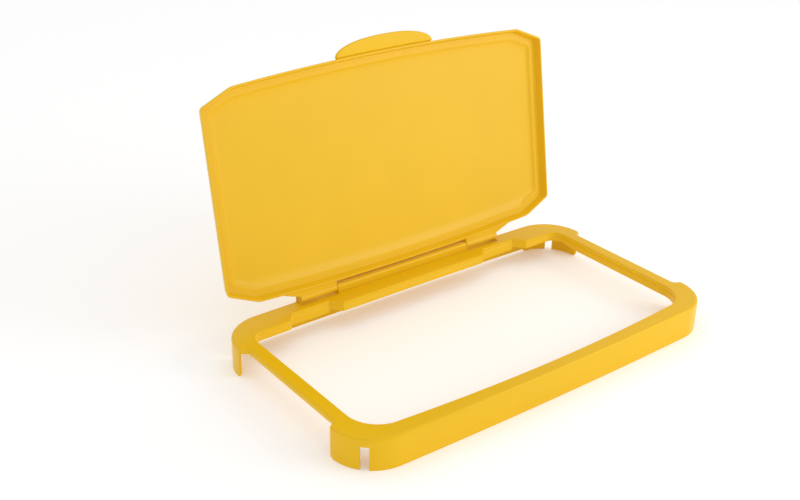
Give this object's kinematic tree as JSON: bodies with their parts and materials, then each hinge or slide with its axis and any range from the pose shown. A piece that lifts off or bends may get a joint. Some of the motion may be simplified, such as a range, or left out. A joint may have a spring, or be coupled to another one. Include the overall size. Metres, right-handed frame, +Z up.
{
  "type": "hinged bin lid with rim frame",
  "caption": "Yellow moulded lid, hinged at the rear of a clip-on rim frame for a slim rectangular waste bin, with a front finger grip.",
  "frame": {"origin": "centre of the bin mouth that the frame covers, on the plane of the corner skirts' lower edges", "axes": "+X along the frame's length and the hinge axis, +Y towards the hinge, +Z up"},
  "size_m": [0.517, 0.3307, 0.3239],
  "materials": {
    "frame_plastic": "smooth satin moulding",
    "rail_plastic": "smooth satin moulding",
    "lid_plastic": "satin moulding",
    "grip_plastic": "smooth satin moulding",
    "arm_plastic": "smooth satin moulding",
    "pin_plastic": "smooth moulding"
  },
  "bodies": {
    "frame": {"rim_frame": "frame_plastic", "hinge_rail": "rail_plastic"},
    "lid": {"lid_shell": "lid_plastic", "grip_tab": "grip_plastic", "hinge_arm_left": "arm_plastic", "hinge_arm_right": "arm_plastic", "hinge_pin_left": "pin_plastic", "hinge_pin_right": "pin_plastic"}
  },
  "joints": [
    {"name": "lid_hinge", "type": "hinge", "parent": "frame", "child": "lid", "pos_m": [0, 0.134, 0.043], "axis": [1, 0, 0], "range_deg": [0, 99.7]}
  ]
}
